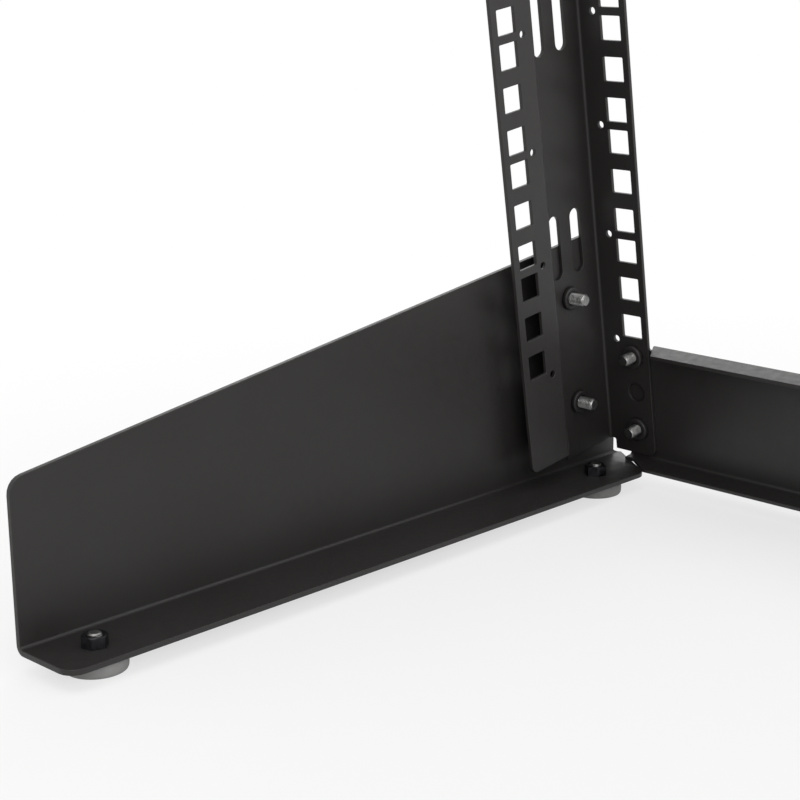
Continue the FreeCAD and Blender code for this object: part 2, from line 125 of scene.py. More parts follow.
# %% Matrices from a piece's own frame to the rack
BASE = Vector((0, SETBACK - FOOT_LENGTH / 2, PAD_HEIGHT + FOOT_SHEET + POST_CLEAR)) * MM
TILT = Matrix.Translation(BASE) @ Matrix.Rotation(-LEAN, 4, "X")
POST_FRAME = TILT @ Matrix.Translation(Vector((-HALF_SPAN * MM, 0, 0)))
FOOT_START = Vector((-(HALF_SPAN + FOOT_SHEET), -FOOT_LENGTH / 2, PAD_HEIGHT))
FOOT_FRAME = Matrix.Translation(FOOT_START * MM)
MIRROR = Matrix.Diagonal((-1, 1, 1, 1))
X_AXIS, Y_AXIS, Z_AXIS = Matrix.Identity(3)


def bar_frame(middle):
    """The frame of a bar whose middle is this far up the post."""
    return TILT @ Matrix.Translation(Vector((0, -SHEET, middle)) * MM)


print("post foot at", [round(v / MM, 2) for v in POST_FRAME.translation])

# %% [markdown]
# ## Small helpers for node trees
#
# A Geometry Nodes modifier stores each input under an identifier such as Socket_2, not
# under its name. These helpers make a tree with named inputs and look the identifier up.
# They also turn the result into a plain mesh, because an export can't carry a live tree.

# %% Helpers that make trees and nodes
KINDS = {"length": "NodeSocketFloat", "count": "NodeSocketInt", "mesh": "NodeSocketGeometry",
         "material": "NodeSocketMaterial", "object": "NodeSocketObject"}


def new_tree(name, **inputs):
    """A node tree with a geometry input and output, and the named inputs after it."""
    tree = bpy.data.node_groups.new(name, "GeometryNodeTree")
    for way in ("INPUT", "OUTPUT"):
        tree.interface.new_socket("Geometry", in_out=way, socket_type=KINDS["mesh"])
    for label, kind in inputs.items():
        label = label.replace("_", " ")
        tree.interface.new_socket(label, in_out="INPUT", socket_type=KINDS[kind])
    given, result = tree.nodes.new("NodeGroupInput"), tree.nodes.new("NodeGroupOutput")
    return tree, given.outputs, result.inputs


def feed(tree, socket, value):
    """Give the socket another node's output, or a value of its own."""
    if isinstance(value, bpy.types.NodeSocket):
        tree.links.new(value, socket)
    else:
        socket.default_value = value


def add(tree, kind, settings=None, result=0, **inputs):
    """A node with its settings and its inputs by name. The answer is one of its outputs."""
    made = tree.nodes.new(kind)
    for key, value in (settings or {}).items():
        setattr(made, key, value)
    for label, value in inputs.items():
        label = label.replace("_", " ")
        feed(tree, next(s for s in made.inputs if s.name == label and s.enabled), value)
    return made.outputs[result]


def calc(tree, operation, *values, kind="ShaderNodeMath"):
    """A node that works on its inputs in their order, such as a sum or a mix of shaders."""
    made = tree.nodes.new(kind)
    if operation:
        made.operation = operation
    for socket, value in zip(made.inputs, values):
        feed(tree, socket, value)
    return made.outputs[0]


print("node helpers ready")

# %% Helpers that run trees and keep plain meshes
def use_tree(thing, tree, **values):
    """A modifier that runs the tree with these named inputs."""
    modifier = thing.modifiers.new(tree.name, "NODES")
    modifier.node_group = tree
    for item in tree.interface.items_tree:
        key = item.name.replace(" ", "_")
        if item.item_type == "SOCKET" and item.in_out == "INPUT" and key in values:
            modifier[item.identifier] = values[key]


def finish_tree(tree, geometry, finish, result):
    """The tree's end: instances made real, the material set, and the output linked."""
    real = add(tree, "GeometryNodeRealizeInstances", Geometry=geometry)
    done = add(tree, "GeometryNodeSetMaterial", Geometry=real, Material=finish)
    tree.links.new(done, result[0])


def place_object(name, data):
    """A new object in the scene, at the origin."""
    thing = bpy.data.objects.new(name, data)
    bpy.context.scene.collection.objects.link(thing)
    return thing


def plain_mesh(thing):
    """The evaluated result as a plain mesh. The object that made it goes."""
    graph = bpy.context.evaluated_depsgraph_get()
    mesh = bpy.data.meshes.new_from_object(thing.evaluated_get(graph))
    mesh.name = thing.name
    bpy.data.objects.remove(thing)
    return mesh


print("tree helpers ready")

# %% [markdown]
# ## A finish from noises
#
# No real finish is one even colour. A slow noise moves the colour between two values, a
# finer one moves the roughness, and the finest push the surface in and out. They read
# Object coordinates, so the pattern has its true size, in millimetres, on every piece.

# %% Helpers for materials
def new_material(name, **constants):
    """A material with its shader, and constants set on the shader's own sockets."""
    material = bpy.data.materials.new(name)
    material.use_nodes = True
    shader = material.node_tree.nodes["Principled BSDF"]
    for label, value in constants.items():
        shader.inputs[label.replace("_", " ")].default_value = value
    return material, material.node_tree, shader


def noise(tree, size, detail=3.0, roughness=0.5):
    """Noise on Object coordinates whose features are about this many millimetres across."""
    where = add(tree, "ShaderNodeTexCoord", result="Object")
    return add(tree, "ShaderNodeTexNoise", Vector=where, Scale=1 / (size * MM), Detail=detail,
               Roughness=roughness)


def spread(tree, value, low, high, start=0.3, end=0.7):
    """The value moved from the range start..end to the range low..high."""
    return add(tree, "ShaderNodeMapRange", Value=value, From_Min=start, From_Max=end, To_Min=low,
               To_Max=high)


def bump(tree, height, distance, below=None):
    """A bump of this many millimetres, on top of another bump if one is given."""
    on_top = {"Normal": below} if below else {}
    return add(tree, "ShaderNodeBump", Height=height, Distance=distance * MM, Strength=1.0,
               **on_top)


def make_finish(name, cloud, colours, gloss, rough, bumps, **constants):
    """A material whose colour, roughness and surface each follow a noise of their own."""
    material, tree, shader = new_material(name, **constants)
    first, second = ((*colour, 1) for colour in colours)
    share = spread(tree, noise(tree, *cloud), 0.0, 1.0)
    colour = add(tree, "ShaderNodeMix", {"data_type": "RGBA"}, 2, Factor=share, A=first, B=second)
    surface = None
    for grain, height in bumps:
        surface = bump(tree, noise(tree, *grain), height, surface)
    tree.links.new(colour, shader.inputs["Base Color"])
    tree.links.new(spread(tree, noise(tree, *gloss), *rough), shader.inputs["Roughness"])
    tree.links.new(surface, shader.inputs["Normal"])
    print("made", name)
    return material


print("material helpers ready")

# %% [markdown]
# ## Powder coat
#
# The steel is covered with a satin black powder that melts into a skin. It isn't perfectly
# flat: it has a faint orange peel about a millimetre across and a much finer grain, and its
# gloss varies a little.

# %% Satin black powder coat
POWDER = make_finish(
    "satin_black_powder_coat", cloud=(60,), gloss=(3.0, 4.0), rough=(0.40, 0.50),
    colours=((0.0206, 0.0188, 0.0180), (0.0258, 0.0243, 0.0238)),
    bumps=[((0.35, 2.0), 0.006), ((1.4, 2.0), 0.02)], Specular_IOR_Level=0.34)

# %% [markdown]
# ## Plated steel, dark nuts and rubber
#
# The screws and studs are zinc plated: bright, with a fine grain left by rolling. The nuts
# on the studs are the same metal with a dark finish. The pads are moulded rubber, dull, with
# a fine texture. Metal needs something to reflect, so it relies on the soft studio light.

# %% Metal and rubber
METAL = {"cloud": (2.5, 4.0, 0.6), "gloss": (0.8, 3.0), "Metallic": 1.0}
ZINC = make_finish(
    "plated_steel_screw", colours=((0.17, 0.168, 0.165), (0.36, 0.355, 0.35)),
    rough=(0.28, 0.44), bumps=[((0.15, 2.0), 0.006)], **METAL)
DARK_NUT = make_finish(
    "dark_plated_nut", colours=((0.03, 0.03, 0.034), (0.055, 0.055, 0.06)),
    rough=(0.32, 0.46), bumps=[((0.15, 2.0), 0.004)], **METAL)
RUBBER = make_finish(
    "moulded_rubber", cloud=(6.0, 4.0), gloss=(1.5,), rough=(0.6, 0.75),
    colours=((0.20, 0.197, 0.194), (0.26, 0.257, 0.254)), bumps=[((0.25, 2.0), 0.012)],
    Specular_IOR_Level=0.35)

# %% [markdown]
# ## Punching holes with Geometry Nodes
#
# A hole in sheet metal is a punch pressed through a flat blank, again and again at a fixed
# pitch. The tree does the same. A line of points gives the places, a rounded rectangle is
# the punch, and each copy adds its outline to the blank's outline. A round hole is a
# rectangle whose corners are as large as they can be. The last tree fills the area between
# all the outlines, which leaves the holes open without one boolean cut. It welds points
# that nearly meet first, because the fill closes a hole whose outline has such a pair.

# %% The trees that punch one row of holes and fill the blank
def make_punch_tree():
    tree, given, result = new_tree(
        "Punch a row of holes", Count="count", Spacing="length", Start="length",
        Column="length", Width="length", Height="length", Corner="length", Corner_Points="count")
    start = add(tree, "ShaderNodeCombineXYZ", X=given["Column"], Y=given["Start"])
    offset = add(tree, "ShaderNodeCombineXYZ", Y=given["Spacing"])
    places = add(tree, "GeometryNodeMeshLine", Count=given["Count"], Start_Location=start,
                 Offset=offset)
    box = add(tree, "GeometryNodeCurvePrimitiveQuadrilateral", Width=given["Width"],
              Height=given["Height"])
    punch = add(tree, "GeometryNodeFilletCurve", {"mode": "POLY"}, Curve=box,
                Count=given["Corner Points"], Radius=given["Corner"], Limit_Radius=True)
    copies = add(tree, "GeometryNodeInstanceOnPoints", Points=places, Instance=punch)
    real = add(tree, "GeometryNodeRealizeInstances", Geometry=copies)
    joined = tree.nodes.new("GeometryNodeJoinGeometry")
    for outlines in (add(tree, "GeometryNodeCurveToMesh", Curve=real), given["Geometry"]):
        tree.links.new(outlines, joined.inputs[0])
    tree.links.new(joined.outputs[0], result[0])
    return tree


WELD = 0.002 * MM


def make_fill_tree():
    tree, given, result = new_tree("Fill the blank", Finish="material")
    welded = add(tree, "GeometryNodeMergeByDistance", Geometry=given["Geometry"], Distance=WELD)
    curve = add(tree, "GeometryNodeMeshToCurve", Mesh=welded)
    filled = add(tree, "GeometryNodeFillCurve", {"mode": "NGONS"}, Curve=curve)
    finish_tree(tree, filled, given["Finish"], result)
    return tree


PUNCH, FILL = make_punch_tree(), make_fill_tree()
print("trees:", PUNCH.name, "/", FILL.name)

# %% [markdown]
# ## One flat panel of a blank
#
# A panel is the flat part between two bends. Its outline is a list of corners, each with
# the radius that the press gives it, and its holes are rows for the punch. The first
# coordinate runs across the blank, from the corner of the bend, and the second along it.

# %% Outlines with rounded corners
def rounded(corners, steps=5):
    """The outline through (across, along, radius) corners, in millimetres."""
    points = []
    for i, (x, y, radius) in enumerate(corners):
        here = Vector((x, y))
        if not radius:
            points.append(here)
            continue
        before = (Vector(corners[i - 1][:2]) - here).normalized()
        after = (Vector(corners[(i + 1) % len(corners)][:2]) - here).normalized()
        half = before.angle(after) / 2
        centre = here + (before + after).normalized() * radius / math.sin(half)
        first = here + before * radius / math.tan(half) - centre
        last = here + after * radius / math.tan(half) - centre
        sweep = first.angle(last)
        for k in range(steps + 1):
            a, b = math.sin(sweep * (1 - k / steps)), math.sin(sweep * k / steps)
            points.append(centre + (first * a + last * b) / math.sin(sweep))
    return points


print("outline helper ready")

# %% Rows of holes, and punched panels
ALMOST_HALF = 0.4999


def row(count, spacing, start, column, width, height=None, corner=0.4, points=4):
    """One row of holes for the punch, from sizes in millimetres."""
    corner = min(corner, ALMOST_HALF * width)
    return {"Count": count, "Spacing": spacing * MM, "Start": start * MM, "Column": column * MM,
            "Width": width * MM, "Height": (height or width) * MM, "Corner": corner * MM,
            "Corner_Points": points}


def round_row(count, spacing, start, column, size, points=8):
    """One row of round holes of this diameter."""
    return row(count, spacing, start, column, size, corner=size / 2, points=points)


def panel(name, corners, rows=()):
    """A flat, filled and punched panel as a mesh in the XY plane, facing up."""
    outline = rounded(corners)
    mesh = bpy.data.meshes.new(name)
    ring = [(i, (i + 1) % len(outline)) for i in range(len(outline))]
    mesh.from_pydata([(x * MM, y * MM, 0) for x, y in outline], ring, [])
    blank = place_object(name, mesh)
    for holes in rows:
        use_tree(blank, PUNCH, **holes)
    use_tree(blank, FILL, Finish=POWDER)
    return plain_mesh(blank)


print("punching helpers ready")

# %% [markdown]
# ## Bending the sheet
#
# A press brake turns the flat blank about a line, and the outside of each bend becomes an
# arc. Here the section is a chain of corners with a radius at each bend. The panels are laid
# on its straight runs, and a strip of narrow quads makes each arc. When the shared edges are
# merged it is one skin.

# %% The skin of a bent sheet
def face_forward(part, way):
    """Turn the polygon round if it doesn't face this way."""
    part.normal_update()
    if part.normal.dot(way) < 0:
        part.normal_flip()


def lay_panel(skin, mesh, corner, direction, axes):
    """Put a flat panel on one straight run, with its face to the left of the run."""
    across = axes[0] * direction.x + axes[1] * direction.y
    face = axes[0] * -direction.y + axes[1] * direction.x
    origin = (axes[0] * corner.x + axes[1] * corner.y) * MM
    kept = len(skin.verts)
    skin.from_mesh(mesh)
    skin.verts.ensure_lookup_table()
    new = skin.verts[kept:]
    for vert in new:
        vert.co = origin + across * vert.co.x + axes[2] * vert.co.y
    for part in {part for vert in new for part in vert.link_faces}:
        face_forward(part, face)
    bpy.data.meshes.remove(mesh)


def lay_bend(skin, corner, before, after, radius, ends, axes, steps=8):
    """The arc between two runs as quads, with where it starts and stops at both ends."""
    turn = math.asin(before.x * after.y - before.y * after.x)
    left = Vector((-before.y, before.x))
    side = 1 if turn > 0 else -1
    centre = corner - before * radius * math.tan(abs(turn) / 2) + left * side * radius
    rails = []
    for k in range(steps + 1):
        out = Matrix.Rotation(turn * k / steps, 2) @ (left * -side)
        spot = centre + out * radius
        base = (axes[0] * spot.x + axes[1] * spot.y) * MM
        low, high = (first + (last - first) * k / steps for first, last in ends)
        rails.append([skin.verts.new(base + axes[2] * z * MM) for z in (low, high)])
        rails[-1].append(axes[0] * (out * -side).x + axes[1] * (out * -side).y)
    for (a, b, out), (c, d, _) in zip(rails, rails[1:]):
        face_forward(skin.faces.new((a, b, d, c)), out)


print("bending helpers ready")

# %% [markdown]
# ## From skin to sheet
#
# The skin is copied at the depth of the sheet's thickness, and a wall joins the cut edges
# of the two. Its rims have a small round, because a rounded edge is what catches the light
# along every real sheet metal part. Solidify and Bevel modifiers could do most of this, but
# code keeps the round even where a hole stands close to a bend.

# %% The thickness and the rounded edges
EDGE = 0.24
QUARTER_TURN = (0, math.pi / 4, math.pi / 2)
SAME_FACE = 0.99999


def edge_ways(skin):
    """For each vertex on a cut edge, the way out of the sheet there, mitred at corners."""
    ways = {}
    for line in skin.edges:
        if line.is_boundary:
            loop = line.link_loops[0]
            along = (loop.link_loop_next.vert.co - loop.vert.co).normalized()
            for vert in line.verts:
                ways.setdefault(vert, []).append(along.cross(loop.face.normal))
    return {vert: (a + b) / (1 + a.dot(b)) for vert, (a, b) in ways.items()}


def outward(vert):
    """The way straight out of the skin at a vertex, lengthened where faces meet in a bend."""
    normals = []
    for part in vert.link_faces:
        if all(part.normal.dot(known) < SAME_FACE for known in normals):
            normals.append(part.normal)
    normal = sum(normals, Vector()).normalized()
    return normal / min(normal.dot(known) for known in normals)


def thicken(skin, thickness):
    """The skin as a closed sheet. Each cut edge gets a small round on both of its faces."""
    skin.normal_update()
    ways = edge_ways(skin)
    levels = [((1 - math.sin(a)) * EDGE, (1 - math.cos(a)) * EDGE) for a in QUARTER_TURN]
    levels += [(inset, thickness - deep) for inset, deep in reversed(levels)]
    solid, columns = bmesh.new(), {}
    for vert in skin.verts:
        normal, way = outward(vert), ways.get(vert, Vector())
        kept = levels if vert in ways else (levels[0], levels[-1])
        columns[vert] = [solid.verts.new(vert.co - (way * inset + normal * deep) * MM)
                         for inset, deep in kept]
    for part in skin.faces:
        solid.faces.new([columns[vert][0] for vert in part.verts])
        solid.faces.new([columns[vert][-1] for vert in reversed(part.verts)])
    for line in skin.edges:
        if line.is_boundary:
            loop = line.link_loops[0]
            first, last = columns[loop.vert], columns[loop.link_loop_next.vert]
            for k in range(len(levels) - 1):
                solid.faces.new((last[k], first[k], first[k + 1], last[k + 1]))
    for part in solid.faces:
        part.smooth = True
    return solid


print("cut edges are rounded by", EDGE, "mm")

# %% [markdown]
# ## Shading a folded sheet
#
# Smooth shading blends the direction of every face round a vertex, and a flat face next to
# a bend then shows a false gradient. So each corner of a flat face gets the exact direction
# of that flat. Bends and rounded edges take it over where they touch a flat, and are blended
# elsewhere.

# %% Flat faces that stay flat
ON_FLAT, TOUCHES_FLAT, SAME_CURVE = 0.9996, 0.1, 0.5


def flat_faces_stay_flat(mesh, faces):
    """Shade the flats of a sheet dead flat, and let bends and edges turn smoothly into them."""
    ways = [way for face in faces for way in (face, -face)]
    levels, flats, around = [], {}, {}
    for part in mesh.polygons:
        level = next((way for way in ways if part.normal.dot(way) > ON_FLAT), None)
        levels.append(level)
        for index in part.vertices:
            if level:
                flats[index] = level
            around.setdefault(index, []).append((part.normal.copy(), part.area))
    normals = [None] * len(mesh.loops)
    for part, level in zip(mesh.polygons, levels):
        for loop in part.loop_indices:
            index = mesh.loops[loop].vertex_index
            if level:
                normals[loop] = level
            elif index in flats and flats[index].dot(part.normal) > TOUCHES_FLAT:
                normals[loop] = flats[index]
            else:
                near = [n * a for n, a in around[index] if n.dot(part.normal) > SAME_CURVE]
                normals[loop] = sum(near, Vector()).normalized()
    mesh.normals_split_custom_set(normals)


print("a face within", round(math.degrees(math.acos(ON_FLAT)), 1), "degrees of a flat is flat")

# %% [markdown]
# ## One sheet and its mirror image
#
# The last helpers make a whole sheet from its section and its panels, and its mirror image
# for the other side. A finished piece rides on the rack's one body and stands for its nodes
# in the measured model.

# %% The whole sheet, and handing a piece over
def mesh_from(shape, name, finish):
    """The shape as a mesh with one material. The shape is freed."""
    mesh = bpy.data.meshes.new(name)
    shape.to_mesh(mesh)
    shape.free()
    mesh.materials.append(finish)
    return mesh


def bent_sheet(name, section, radius, panels, bends, axes, thickness, place):
    """A sheet bent at the inner corners of its section. place puts it in the rack."""
    skin = bmesh.new()
    corners = [Vector(point) for point in section]
    runs = [(b - a).normalized() for a, b in zip(corners, corners[1:])]
    for i, (outline, rows) in enumerate(panels):
        flat = panel(f"{name}_run_{i}", outline, rows)
        lay_panel(skin, flat, corners[i], runs[i], axes)
    for i, ends in enumerate(bends):
        lay_bend(skin, corners[i + 1], runs[i], runs[i + 1], radius[i], ends, axes)
    bmesh.ops.remove_doubles(skin, verts=skin.verts, dist=WELD)
    mesh = mesh_from(thicken(skin, thickness), name, POWDER)
    skin.free()
    mesh.transform(place)
    turn = place.to_3x3()
    faces = [turn @ (axes[0] * -run.y + axes[1] * run.x) for run in runs]
    flat_faces_stay_flat(mesh, faces)
    return mesh, faces


def mirrored(mesh, faces, name):
    """The same sheet for the other side of the rack, with its faces still outwards."""
    shape = bmesh.new()
    shape.from_mesh(mesh)
    bmesh.ops.transform(shape, matrix=MIRROR, verts=shape.verts)
    bmesh.ops.reverse_faces(shape, faces=shape.faces)
    other = mesh_from(shape, name, POWDER)
    flat_faces_stay_flat(other, [MIRROR.to_3x3() @ face for face in faces])
    return other


def hand_over(piece, nodes):
    """The piece rides on the rack's body and stands for its nodes in the measured model."""
    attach(piece, "root")
    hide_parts(*nodes)
    piece.data.calc_loop_triangles()
    print(piece.name, len(piece.data.loop_triangles), "triangles for", len(nodes), "nodes")


def make_pair(kind, *sheet):
    """The left sheet and its mirror image, both handed over."""
    mesh, faces = bent_sheet(f"left_{kind}_sheet", *sheet)
    other = mirrored(mesh, faces, f"right_{kind}_sheet")
    for side, half in (("left", mesh), ("right", other)):
        hand_over(place_object(half.name, half), [f"{side}_{kind}"])


def straight_bend(start, end):
    """The ends of a bend that runs from start to end and is cut off square."""
    return (start, start), (end, end)


print("sheet helpers ready")

# %% [markdown]
# ## The posts
#
# The post is the piece that makes this a rack. Its front leg carries square holes for cage
# nuts and its web carries pairs of slots for cable ties. Behind the web the sheet steps
# inwards at 45 degrees to a strip with a second column of square holes. Small round holes
# mark where each unit ends. All of them are punched while the panels are flat.

# %% Sizes of the post, and its section
SQUARE, MARKER, MARKER_OFFSET, SPARE_HOLE = 9.5, 2.8, 8.3, 8.0
SLOT_FRONT, SLOT_GAP, SLOT_WIDTH, SLOT_HEIGHT = 11.72, 12.9, 6.0, 26.0
NOTCH, NOTCH_HEIGHT, NOTCH_ROUND, TRIM = 4.0, 4.5, 0.8, 12.7
WEB_DEPTH, STEP, STRIP, SIDE_EDGE = 29.0, 10.0, 21.6, 8.2
EASE = BEND + SHEET
WEB_END = SHEET + WEB_DEPTH
POST_SECTION = [(LEG, 0), (0, 0), (0, WEB_END), (STEP, WEB_END + STEP),
                (STEP, WEB_END + STEP + STRIP)]
POST_RADII = [EASE, EASE, BEND]
POST_BENDS = [straight_bend(start, POST_LENGTH) for start in (NOTCH_HEIGHT, TRIM, TRIM)]
UPRIGHT = (X_AXIS, Y_AXIS, Z_AXIS)
print("section of the post:", [tuple(round(v, 2) for v in point) for point in POST_SECTION])

# %% Panels and holes of the left post
def hole_rows(column, marker):
    """The square holes of every unit and the round marks between the units."""
    rows = [row(UNITS, UNIT, RAIL_START + FIRST_HOLE + i * HOLE_PITCH, column, SQUARE)
            for i in range(3)]
    return rows + [round_row(UNITS + 1, UNIT, RAIL_START, marker, MARKER, points=6)]


def leg_panel():
    """The front leg: square holes, and screw holes and a spare hole at each end."""
    top, edge = POST_LENGTH, LEG - EASE
    leg = [(0, 0, CORNER), (LEG - NOTCH, 0, 0), (LEG - NOTCH, NOTCH_HEIGHT, NOTCH_ROUND),
           (edge, NOTCH_HEIGHT, 0), (edge, top, 0), (0, top, CORNER)]
    rows = hole_rows(LEG_EDGE, LEG_EDGE + MARKER_OFFSET)
    for i, size in enumerate((SCREW_HOLE, SPARE_HOLE, SCREW_HOLE)):
        drop = RAIL_START - FIRST_HOLE - i * HOLE_PITCH
        rows.append(round_row(2, top - 2 * drop, drop, LEG_EDGE, size))
    return leg, rows


def web_panel(end):
    """The web: pairs of slots in every other unit, and two screw holes for the foot."""
    web = [(EASE, NOTCH_HEIGHT, 0), (end, NOTCH_HEIGHT, 0), (end, TRIM, 0),
           (end, POST_LENGTH, 0), (EASE, POST_LENGTH, 0)]
    front = SHEET + SLOT_FRONT
    rows = [row(UNITS // 2, 2 * UNIT, RAIL_START + UNIT, x, SLOT_WIDTH, SLOT_HEIGHT,
                SLOT_WIDTH / 2, 8) for x in (front, front + SLOT_GAP)]
    return web, rows + [round_row(2, UNIT, BOLT_RISES[0], BOLT_LINE, SCREW_HOLE)]


def post_panels():
    """Leg, web, step and strip: each with its outline and its rows of holes."""
    slant, top = STEP * math.sqrt(2), POST_LENGTH
    tail, inner_tail = (radius * math.tan(math.pi / 8) for radius in (EASE, BEND))
    end = slant - inner_tail
    step = [(tail, TRIM, 0), (end, TRIM, 0), (end, top, 0), (tail, top, 0)]
    strip = [(inner_tail, TRIM, 0), (STRIP, TRIM, CORNER), (STRIP, top, CORNER),
             (inner_tail, top, 0)]
    side = STRIP - SIDE_EDGE
    return [leg_panel(), web_panel(WEB_END - tail), (step, []),
            (strip, hole_rows(side, side - MARKER_OFFSET))]


print("rows of holes in each panel:", [len(rows) for _, rows in post_panels()])

# %% Make both posts
make_pair("post", POST_SECTION, POST_RADII, post_panels(), POST_BENDS, UPRIGHT, SHEET, POST_FRAME)

# %% [markdown]
# ## The feet
#
# A foot is a plate that stands on edge with its lower side bent into a flange. The front
# edge of the plate follows the leaning post and the top edge is square to it, so the plate
# falls away to the rear. The flange is cut back at the front corner, and the plate has a
# small relief there.

# %% Panels and holes of the left foot
FOOT_REAR = 57.5
RELIEF, RELIEF_HEIGHT, RELIEF_ROUND = 3.4, 7.0, 1.0
FOOT_EASE = BEND + FOOT_SHEET


def bolt_hole(rise):
    """The hole in the plate for the screw that enters the post this far up."""
    along = SETBACK + BOLT_LINE * math.cos(LEAN) + rise * math.sin(LEAN)
    up = FOOT_SHEET + POST_CLEAR - BOLT_LINE * math.sin(LEAN) + rise * math.cos(LEAN)
    return round_row(1, 1, along, up, SCREW_HOLE)


def foot_panels():
    """Flange and plate of the foot, from the free edge of the flange."""
    reach = FOOT_REAR * math.cos(LEAN) + FOOT_LENGTH * math.sin(LEAN)
    peak_along, peak_up = reach * math.sin(LEAN), reach * math.cos(LEAN)
    inner = FOOT_FLANGE - FOOT_EASE
    flange = [(0, FLANGE_CUT, FOOT_CORNER), (inner, 0, 0), (inner, FOOT_LENGTH, 0),
              (0, FOOT_LENGTH, FOOT_CORNER)]
    studs = [round_row(1, 1, along, FOOT_FLANGE - STUD_INSET, SCREW_HOLE)
             for along in STUD_PLACES]
    top = FOOT_EASE + RELIEF_HEIGHT
    plate = [(FOOT_EASE, RELIEF, 0), (top, RELIEF, RELIEF_ROUND),
             (top + RELIEF, (top + RELIEF) * math.tan(LEAN), 0),
             (peak_up, peak_along, FOOT_CORNER), (FOOT_REAR, FOOT_LENGTH, FOOT_CORNER),
             (FOOT_EASE, FOOT_LENGTH, 0)]
    return [(flange, studs), (plate, [bolt_hole(rise) for rise in BOLT_RISES])]


print("rows of holes in each panel:", [len(rows) for _, rows in foot_panels()])

# %% Make both feet
PLATE_RUN = 100.0  # gives only the plate's direction, as its height comes from its panel
FOOT_SECTION = [(FOOT_FLANGE, 0), (0, 0), (0, PLATE_RUN)]
FOOT_BENDS = [((0, RELIEF), (FOOT_LENGTH, FOOT_LENGTH))]
LYING = (X_AXIS, Z_AXIS, Y_AXIS)
make_pair("foot", FOOT_SECTION, [FOOT_EASE], foot_panels(), FOOT_BENDS, LYING, FOOT_SHEET,
          FOOT_FRAME)

# %% [markdown]
# ## The bars
#
# Each bar is a channel: a web with two flanges. The inner flange stops short of the posts,
# and the web runs on in front of the legs, where two screws hold each end. The outer flange
# passes under the posts, so it is as long as the web, and its ends are mitred to clear the
# slanted flange of the foot. The upper bar is the same part turned over.

# %% Panels and holes of a bar
BAR_FLANGE, BAR_END_GAP, LEG_CLEAR = 12.5, 9.0, 2.5
MITRE_START, MITRE_SHIFT, TIP_SHIFT, TIP_ROUND = 6.7, 0.5, 0.1, 0.3
INNER_MITRE, INNER_ROUND = 5.8, 1.0


def both_ends(half):
    """Half an outline and its mirror image."""
    return half + [(across, -along, radius) for across, along, radius in reversed(half)]


def bar_panels():
    """Outer flange, web and inner flange of a bar, and its two bends."""
    flange_end = HALF_SPAN - LEG - LEG_CLEAR
    web_end = HALF_SPAN - SHEET - BAR_END_GAP
    free, top = BAR_FLANGE - EASE, BAR_HEIGHT - EASE
    slope = (FOOT_FLANGE - FOOT_SHEET - BEND) / FLANGE_CUT
    mitre, shoulder = (web_end + MITRE_SHIFT - depth * slope
                       for depth in (free, free - MITRE_START))
    outer = [(0, -mitre - TIP_SHIFT, TIP_ROUND), (MITRE_START, -shoulder, 0),
             (MITRE_START, -web_end, 0), (free, -web_end, 0)]
    web = [(EASE, -web_end, 0), (top, -web_end, CORNER), (top, -flange_end, 0)]
    inner = [(EASE, -flange_end, 0), (BAR_FLANGE, -flange_end + INNER_MITRE, INNER_ROUND)]
    rows = []
    for i in (0, 2):
        up = BAR_HEIGHT + BAR_GAP - FIRST_HOLE - i * HOLE_PITCH
        rows.append(round_row(2, COLUMN_SPAN, -COLUMN_SPAN / 2, up, SCREW_HOLE))
    bends = [straight_bend(-end, end) for end in (web_end, flange_end)]
    return [(both_ends(outer), []), (both_ends(web), rows), (both_ends(inner), [])], bends


panels, bar_bends = bar_panels()
print("screw holes in a bar:", sum(holes["Count"] for _, rows in panels for holes in rows))

# %% Make both bars
HALF_BAR = BAR_HEIGHT / 2
BAR_SECTION = [(BAR_FLANGE, -HALF_BAR), (0, -HALF_BAR), (0, HALF_BAR), (BAR_FLANGE, HALF_BAR)]
ACROSS = (Y_AXIS, Z_AXIS, X_AXIS)
LOW_MIDDLE = RAIL_START - BAR_GAP - HALF_BAR
low_frame, high_frame = bar_frame(LOW_MIDDLE), bar_frame(POST_LENGTH - LOW_MIDDLE)
bar_mesh, bar_faces = bent_sheet("bottom_bar_sheet", BAR_SECTION, [EASE, EASE], panels,
                                 bar_bends, ACROSS, SHEET, low_frame)
top_mesh = bar_mesh.copy()
top_mesh.name = "top_bar_sheet"
turned_over = high_frame @ Matrix.Rotation(math.pi, 4, "Y") @ low_frame.inverted()
top_mesh.transform(turned_over)
flat_faces_stay_flat(top_mesh, [turned_over.to_3x3() @ face for face in bar_faces])
hand_over(place_object("bottom_bar_sheet", bar_mesh), ["bottom_bar"])
hand_over(place_object("top_bar_sheet", top_mesh), ["top_bar"])

# %% [markdown]
# ## Where the fasteners sit
#
# The screws go in from outside: two through each foot into the web of its post, and two at
# each end of each bar into the leg. Their nuts are clinched in the post. A mesh with one
# vertex for each place, and the direction as an attribute, is all that a tree needs to put
# a finished fastener there.

# %% Places and directions of the screws
def both_sides(spots, way, grip):
    """(place, direction, grip) of screws in the left post and their mirror images."""
    turn = POST_FRAME.to_3x3()
    return [(side @ (POST_FRAME @ (Vector(spot) * MM)), side.to_3x3() @ (turn @ Vector(way)), grip)
            for spot in spots for side in (Matrix.Identity(4), MIRROR)]


def bar_spots():
    """Where the heads of the bar's screws meet the bar, at the foot and the top of a post."""
    spots = []
    for i in (0, 2):
        drop = RAIL_START - FIRST_HOLE - i * HOLE_PITCH
        spots += [(SHEET + HOLE_TO_WEB, -SHEET, z) for z in (drop, POST_LENGTH - drop)]
    return spots


